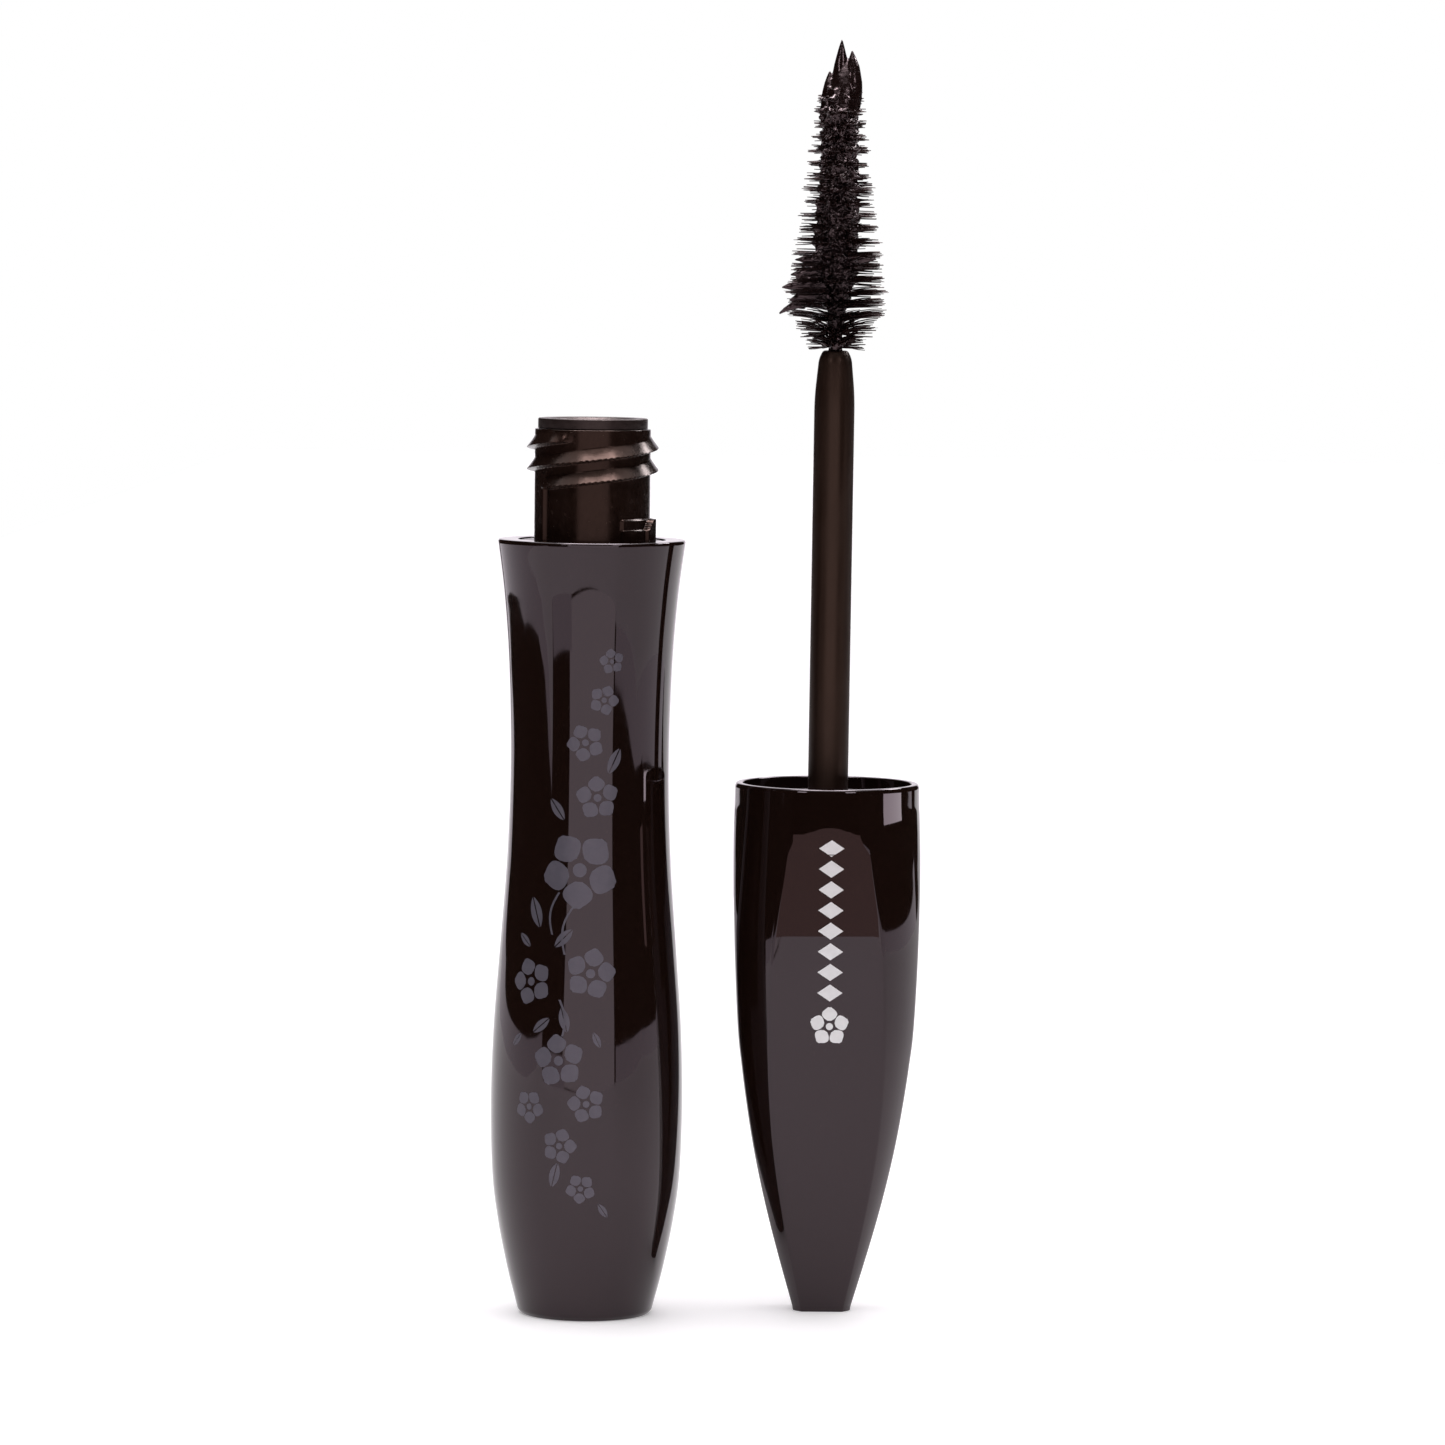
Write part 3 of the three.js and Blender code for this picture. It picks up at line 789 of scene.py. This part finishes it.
def lozenge(half_width, half_height):
    """A plain diamond as a grid."""
    rows = np.linspace(-1, 1, 5)
    return np.array([[((x + y) / 2 * half_width, (y - x) / 2 * half_height) for x in rows]
                     for y in rows])


def make_cap_print():
    """A plain ornament: a column of diamonds over a small flower."""
    centre, first, pitch, diamonds = 0.2, 47.0, 2.05, 8
    marks = [(lozenge(1.25, 0.85), first - i * pitch) for i in range(diamonds)]
    marks += [(grid, first - diamonds * pitch - 1.3) for grid in blossom(2.1, 0)]
    shells = []
    for grid, height in marks:
        across, heights = centre + grid[..., 0], height + grid[..., 1]
        top = on_facet(across, heights, PRINT_LIFT)
        shells.append(slab(top, on_facet(across, heights, PRINT_ROOT)))
    piece("cap_ornament_print", shells, WAND_AXIS, white_print, "applicator")


# ---------------------------------------------------------------- the wand


def make_stem():
    bore, depth = 0.95, 8.2
    path = rounded(
        (0, 33, 0), (3.4, 33, 0.3), (3.4, 36.4, 0.3), (STEM_RADIUS, 36.4, 0.3),
        (STEM_RADIUS, STEM_TOP - 4.6, 1.5), (1.62, STEM_TOP - 0.7, 0.6), (1.2, STEM_TOP, 0.2),
        (bore, STEM_TOP, 0), (bore, STEM_TOP - depth, 0), (0, STEM_TOP - depth, 0), steps=8,
    )
    piece(
        "applicator_stem", leaning([skin(turned(path, 96))]), WAND_AXIS, stem_plastic,
        "applicator", ["stem"],
    )


def make_wire():
    """Two legs of one wire twisted round each other."""
    offset, steps, legs = WIRE["radius"] + 0.03, 260, 2
    shells = []
    for leg in range(legs):
        rise = np.linspace(0, 1, steps)
        turn = rise * WIRE["turns"] * TURN + leg * TURN / legs
        heights = WIRE["bottom"] + rise * (WIRE["top"] - WIRE["bottom"])
        path = np.stack([offset * np.cos(turn), offset * np.sin(turn), heights], -1)
        shells.append(skin(tube(path, np.full(steps, WIRE["radius"]), 10, (1.0, 0.0, 0.0))))
    piece(
        "twisted_wire", leaning(shells), WAND_AXIS, wire_steel, "applicator",
        ["wire_core"], sharp=70,
    )


TIER_GAP = (TIERS["last"] - TIERS["first"]) / (TIERS["count"] - 1)


def tier_height(tier):
    return TIERS["first"] + tier * TIER_GAP


def strand(angle, height, root, reach, lift, bend, radii):
    """A bristle from the core outwards, as a thin tube that rises and bows up a little."""
    s, bow, sides = np.linspace(0, 1, len(radii)), 0.25, 5
    heights = height + lift * s + bow * lift * np.sin(math.pi * s)
    path = around(root + (reach - root) * s, angle + bend * s * s, heights)
    return skin(tube(path, radii, sides))


def fibres(middle, radius, wetness, rise, mess, count):
    """Single fibres of one tier, all round the core."""
    shells = []
    for _ in range(count):
        angle = chance.uniform(0, TURN)
        height = middle + chance.gauss(0, 0.13 + 0.12 * wetness)
        reach = radius * chance.triangular(0.78, 1.03, 0.99)
        thick = chance.uniform(0.05, 0.078)
        radii = thick * np.array([1.25, 1.15, 1.0, 0.95, 0.7])
        lift, bend = rise * reach + chance.gauss(0, mess), chance.gauss(0, 0.05)
        shells.append(strand(angle, height, 0.4, reach, lift, bend, radii))
    return shells


def thorns(middle, radius, wetness, rise, count, turn):
    """Fibres of one tier that the paste draws together into points."""
    shells = []
    for i in range(count):
        angle = turn + (i + chance.uniform(-0.35, 0.35)) * TURN / count
        height = middle + chance.gauss(0, 0.1)
        reach = radius * chance.uniform(0.88, 1.04)
        thick = chance.uniform(0.26, 0.42) * (0.4 + 0.6 * wetness)
        radii = thick * np.array([1.35, 1.1, 0.8, 0.52, 0.32, 0.2, 0.13])
        lift, bend = rise * reach + chance.gauss(0, 0.14), chance.gauss(0, 0.06)
        shells.append(strand(angle, height, 1.0, reach, lift, bend, radii))
    return shells


def make_bristles():
    """Tiers of fibre: fine and separate at the foot, drawn into wet points above."""
    dry_tiers, wetting_tiers, rising_tiers = 2, 12, 5
    shells = []
    for tier in range(TIERS["count"]):
        middle = tier_height(tier)
        wetness = eased((tier - dry_tiers) / wetting_tiers)
        rise = 0.2 * max(0.0, 1 - tier / rising_tiers)
        mess = 0.5 if tier < dry_tiers else 0.18
        radius = smooth_read(BRUSH_OUTLINE, middle) * chance.uniform(0.97, 1.03)
        shells += fibres(middle, radius, wetness, rise, mess, round(92 - 62 * wetness))
        shells += thorns(middle, radius, wetness, rise, round(9 + 7 * wetness), tier * 0.7)
    turns = [f"bristle_turn_{tier + 1:02d}" for tier in range(TIERS["count"])]
    piece(
        "bristle_fibres", leaning(shells), WAND_AXIS, fibre, "applicator", turns,
        sharp=80,
    )


def paste_radius(angle, height, thick, pull):
    """The column's radius at one point: coarse lumps, and points drawn out by pull."""
    coarse, fine = 1.3, 2.3
    spot = Vector(around(thick, angle, height).tolist())
    lumps = noise.fractal(spot * coarse, 0.7, 2.2, 5)
    drawn = pull * max(0.0, 0.35 + noise.noise(spot * fine))
    return thick * (1 + 0.3 * lumps) + drawn


def paste_core():
    """The lumpy column of paste, drawn out a little at every tier."""
    angles, step, crest_width = even_angles(110), 0.08, 0.2
    rings = []
    for height in np.arange(PASTE_COLUMN[0][0], PASTE_COLUMN[-1][0], step):
        tier = (height - TIERS["first"]) / TIER_GAP
        crest = math.exp(-(((tier - round(tier)) / crest_width) ** 2))
        thick = smooth_read(PASTE_COLUMN, height)
        pull = 0.75 * crest * eased((thick - 0.9) / 0.8)
        radii = [paste_radius(angle, height, thick, pull) for angle in angles]
        rings.append(around(np.array(radii), angles, height))
    return skin(np.array(rings))


def lump(path, radii, squeeze=1.0, rough=0.12):
    """A bent, tapering body of paste with a rough surface."""
    sides, grain = 28, 1.6
    rings = tube(path, radii, sides, (0.0, 1.0, 0.0))
    middle = np.array(path, float)[:, None]
    rings = middle + (rings - middle) * (1.0, squeeze, 1.0)
    for ring in rings.reshape(-1, 3):
        ring += rough * np.array(noise.noise_vector(Vector(ring.tolist()) * grain))
    return skin(rings)


LUMP_STEPS = np.linspace(0, 1, 9)


def bent(start, end, bow):
    """A path between two points that bows sideways."""
    s = LUMP_STEPS[:, None]
    return np.array(start) * (1 - s) + np.array(end) * s + np.array(bow) * np.sin(math.pi * s)


def taper(thick, thin, power=1.3):
    return thin + (thick - thin) * (1 - LUMP_STEPS**power)


def end_peaks():
    """The solid end of the brush and the peaks that the paste is drawn into there."""
    top = BRUSH_END - 0.3
    # Each peak as its foot, its end, how it bows, its two radii, and how late it thins.
    peaks = [
        ((0.1, 0.0, 119.5), (0.45, 0.1, 124.9), (0.05, -0.1, 0), (1.84, 0.1), 1.75),
        ((0.0, 0.0, 120.0), (0.05, 0.0, top), (0, 0.1, 0), (1.1, 0.05), 2.1),
        ((0.65, -0.2, 119.4), (1.08, -0.1, 125.4), (0.25, 0, 0), (1.25, 0.07), 2.4),
        ((-0.7, -0.1, 118.8), (-1.1, 0.1, 123.4), (-0.1, 0, 0), (1.15, 0.07), 2.0),
        ((0.1, 0.7, 119.4), (0.4, 0.6, 124.2), (0, 0.3, 0), (1.2, 0.12), 2.2),
        ((1.0, -0.2, 119.4), (2.0, -0.2, 122.3), (0.15, 0, -0.1), (0.7, 0.08), 1.3),
    ]
    return [
        lump(bent(foot, end, bow), taper(*radii, power=power), rough=0.045)
        for foot, end, bow, radii, power in peaks
    ]


def side_web():
    """The paste that hangs between the fibres on the brush's left side, and one on its right."""
    # Each lump as its root, its end, how it bows, its two radii, and its flatness.
    web = [
        ((-0.8, -0.4, 100.9), (-5.65, -0.3, 99.4), (0, 0, 0.45), (0.95, 0.08), 0.6),
        ((-1.0, -0.5, 102.2), (-5.45, -0.4, 102.0), (0, 0, 0.1), (1.15, 0.08), 0.6),
        ((-1.0, -0.5, 101.6), (-4.6, -0.4, 100.7), (0, 0, 0.2), (1.1, 0.1), 0.6),
        ((-3.6, -0.4, 99.9), (-3.6, -0.4, 103.2), (0.1, 0, 0), (0.5, 0.45), 0.5),
        ((-0.8, -0.3, 103.7), (-4.6, -0.4, 103.2), (0, 0, 0.1), (1.1, 0.09), 0.7),
        ((-0.8, -0.3, 105.0), (-4.2, -0.3, 104.7), (0, 0, 0), (0.9, 0.08), 0.7),
        ((0.9, -0.5, 104.8), (3.9, -0.6, 104.9), (0, 0, -0.1), (0.65, 0.08), 0.8),
    ]
    return [lump(bent(root, end, bow), taper(*radii), flat) for root, end, bow, radii, flat in web]


def make_clumps():
    mass = fused([paste_core(), *end_peaks(), *side_web()], voxel=0.075)
    piece(
        "mascara_clumps", leaning([mass]), WAND_AXIS, paste, "applicator",
        ["tip_clump", "side_clump"], sharp=80,
    )


# ---------------------------------------------------------------- CAD nodes that stay as they are


def finish_cad_nodes():
    finishes = {
        "base_plug": liner_plastic,
        "base_label": paper,
        "mascara_formula": paste,
        "cap_weight": wire_steel,
        "seal_washer": wiper_rubber,
    }
    for name, material in finishes.items():
        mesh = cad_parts[name].data
        mesh.materials.clear()
        mesh.materials.append(material)


# ---------------------------------------------------------------- studio


def glow(name, tint, strength):
    material = bpy.data.materials.new(name)
    material.use_nodes = True
    tree = material.node_tree
    tree.nodes.clear()
    emission = tree.nodes.new("ShaderNodeEmission")
    emission.inputs["Color"].default_value = colour(*tint)
    emission.inputs["Strength"].default_value = strength
    output = tree.nodes.new("ShaderNodeOutputMaterial")
    tree.links.new(emission.outputs[0], output.inputs["Surface"])
    return material


def stage_mesh(name, corners, faces, material):
    mesh = bpy.data.meshes.new(name)
    mesh.from_pydata((np.array(corners, float) * MM).tolist(), [], faces)
    mesh.materials.append(material)
    obj = bpy.data.objects.new(name, mesh)
    bpy.context.scene.collection.objects.link(obj)
    return obj


def only_reflected(obj):
    """The object shows in the gloss of others and nowhere else."""
    obj.visible_camera = False
    obj.visible_diffuse = False
    obj.visible_shadow = False


def card(name, foot, low, high, material):
    """A standing card over a line of floor points."""
    count = len(foot)
    corners = [(x, y, low) for x, y in foot] + [(x, y, high) for x, y in foot]
    faces = [[i, i + 1, count + i + 1, count + i] for i in range(count - 1)]
    only_reflected(stage_mesh(name, corners, faces, material))


def panel(name, x, y, z, half, material):
    """A level square panel overhead."""
    corners = [(x - half, y - half, z), (x + half, y - half, z), (x + half, y + half, z),
               (x - half, y + half, z)]
    only_reflected(stage_mesh(name, corners, [[0, 1, 2, 3]], material))


# The white table's outline. Beyond it the room is dark.
TABLE_LEFT = [
    (-270, 600), (-315, 380), (-335, 190), (-340, 60), (-300, -80), (-350, -185), (-572, -409),
]
TABLE_FRONT_LEFT = [(-250, -195), (-125, -255)]
TABLE_RIGHT = [(180, -259), (236, -229), (309, -195), (457, -163), (457, 400)]
TABLE_BACK = [(457, 2500), (-270, 2500)]


def make_rims():
    """The table's raised white rim."""
    white = glow("rim_white", (1.0, 0.93, 1.0), 1.1)
    rims = ("left", TABLE_LEFT, 16), ("front", TABLE_FRONT_LEFT, 16), ("right", TABLE_RIGHT, 18)
    for side, edge, height in rims:
        card(f"rim_{side}", edge, 0, height, white)


def make_cards():
    """White cards in front, beside the cap's mouth and behind, and two small ones for glints."""
    card("card_front", [(-146, -267), (163, -252)], 0, 130, glow("front", (1.0, 0.95, 0.97), 1.45))
    mouth_white = glow("mouth_white", (1.0, 0.94, 0.98), 4.5)
    card("card_cap_mouth", [(33, -9), (34.5, 1.5)], 49.5, 51.6, mouth_white)
    card("card_back", [(-150, 420), (150, 420)], 0, 500, glow("back", (1.0, 0.93, 1.0), 1.1))
    spark = glow("spark_white", (1.0, 0.98, 1.0), 9.0)
    card("card_spark_left", [(-330, -420), (-230, -480)], 300, 400, spark)
    card("card_spark_right", [(250, -480), (350, -420)], 300, 400, spark)


def make_flags():
    """Dark cards close to the cap, which keep its mouth black and its upper facet brown."""
    near, parting = -10, 48.5
    black, brown = glow("flag_black", (1, 1, 1), 0.0), glow("flag_brown", (1.0, 0.7, 0.64), 0.68)
    card("flag_cap_mouth", [(5, near), (18.5, near)], parting, 54, black)
    card("flag_cap_face", [(5.5, near), (18.5, near)], 37.6, parting, brown)


def make_lamps():
    lamp = glow("lamp_white", (1.0, 0.98, 1.0), 20.0)
    panel("lamp_top", 0, 10, 500, 150, lamp)
    panel("lamp_right", 260, 190, 330, 90, lamp)


def make_floor():
    """A white table, a little brighter on its left."""
    nodes = Nodes("floor_white")
    nodes.feed(
        nodes.shader.inputs["Base Color"],
        nodes.blend(nodes.noise(0.02), colour(0.86, 0.84, 0.86), colour(0.9, 0.88, 0.9)),
    )
    nodes.shader.inputs["Roughness"].default_value = 0.6
    nodes.shader.inputs["Emission Color"].default_value = colour(1.0, 0.98, 1.0)
    across = nodes.new("ShaderNodeSeparateXYZ", Vector=nodes.place).outputs["X"]
    strength = nodes.between(across, -0.25, 0.2, 0.42, 0.24)
    nodes.feed(nodes.shader.inputs["Emission Strength"], strength)
    outline = TABLE_LEFT + TABLE_FRONT_LEFT + TABLE_RIGHT + TABLE_BACK
    corners = [(x, y, 0) for x, y in outline]
    stage_mesh("floor", corners, [list(range(len(corners)))], nodes.material)


def make_light():
    """Even, soft light straight from above."""
    data = bpy.data.lights.new("overhead", "SUN")
    data.energy = 3.2
    data.angle = math.radians(85)
    obj = bpy.data.objects.new("overhead", data)
    bpy.context.scene.collection.objects.link(obj)


def make_world():
    """White where the camera looks straight at it, and a dark room to everything else."""
    bpy.context.scene.view_settings.view_transform = "Standard"
    world = bpy.data.worlds.new("studio")
    bpy.context.scene.world = world
    world.use_nodes = True
    tree = world.node_tree
    tree.nodes.clear()
    seen, dark = (tree.nodes.new("ShaderNodeBackground") for _ in range(2))
    seen.inputs["Color"].default_value = colour(1, 1, 1)
    dark.inputs["Color"].default_value = colour(0.018, 0.012, 0.01)
    mix = tree.nodes.new("ShaderNodeMixShader")
    rays = tree.nodes.new("ShaderNodeLightPath")
    output = tree.nodes.new("ShaderNodeOutputWorld")
    tree.links.new(rays.outputs["Is Camera Ray"], mix.inputs[0])
    tree.links.new(dark.outputs[0], mix.inputs[1])
    tree.links.new(seen.outputs[0], mix.inputs[2])
    tree.links.new(mix.outputs[0], output.inputs["Surface"])


def make_camera():
    """The photograph's viewpoint: a long lens, a little above the middle and looking slightly down."""
    position = Vector((15.3, -692.75, 109.0)) * MM
    pitch, yaw, roll = (math.radians(angle) for angle in (4.14, -1.15, 0.63))
    level = Vector((math.sin(yaw), math.cos(yaw), 0))
    right = Vector((math.cos(yaw), -math.sin(yaw), 0))
    forward = level * math.cos(pitch) - Vector((0, 0, math.sin(pitch)))
    up = level * math.sin(pitch) + Vector((0, 0, math.cos(pitch)))
    tilted_right = right * math.cos(roll) + up * math.sin(roll)
    tilted_up = up * math.cos(roll) - right * math.sin(roll)
    data = bpy.data.cameras.new("camera")
    data.sensor_width = 36
    data.lens = 174.4
    data.clip_start = 0.01
    camera = bpy.data.objects.new("camera", data)
    turn = Matrix((tilted_right, tilted_up, -forward)).transposed().to_4x4()
    camera.matrix_world = Matrix.Translation(position) @ turn
    bpy.context.scene.collection.objects.link(camera)
    bpy.context.scene.camera = camera


make_camera()
make_world()
make_floor()
make_rims()
make_cards()
make_flags()
make_lamps()
make_light()

make_bottle_shell()
make_vial()
make_wiper()
make_bottle_print()
make_cap_shell()
make_cap_insert()
make_cap_print()
make_stem()
make_wire()
make_bristles()
make_clumps()
finish_cad_nodes()
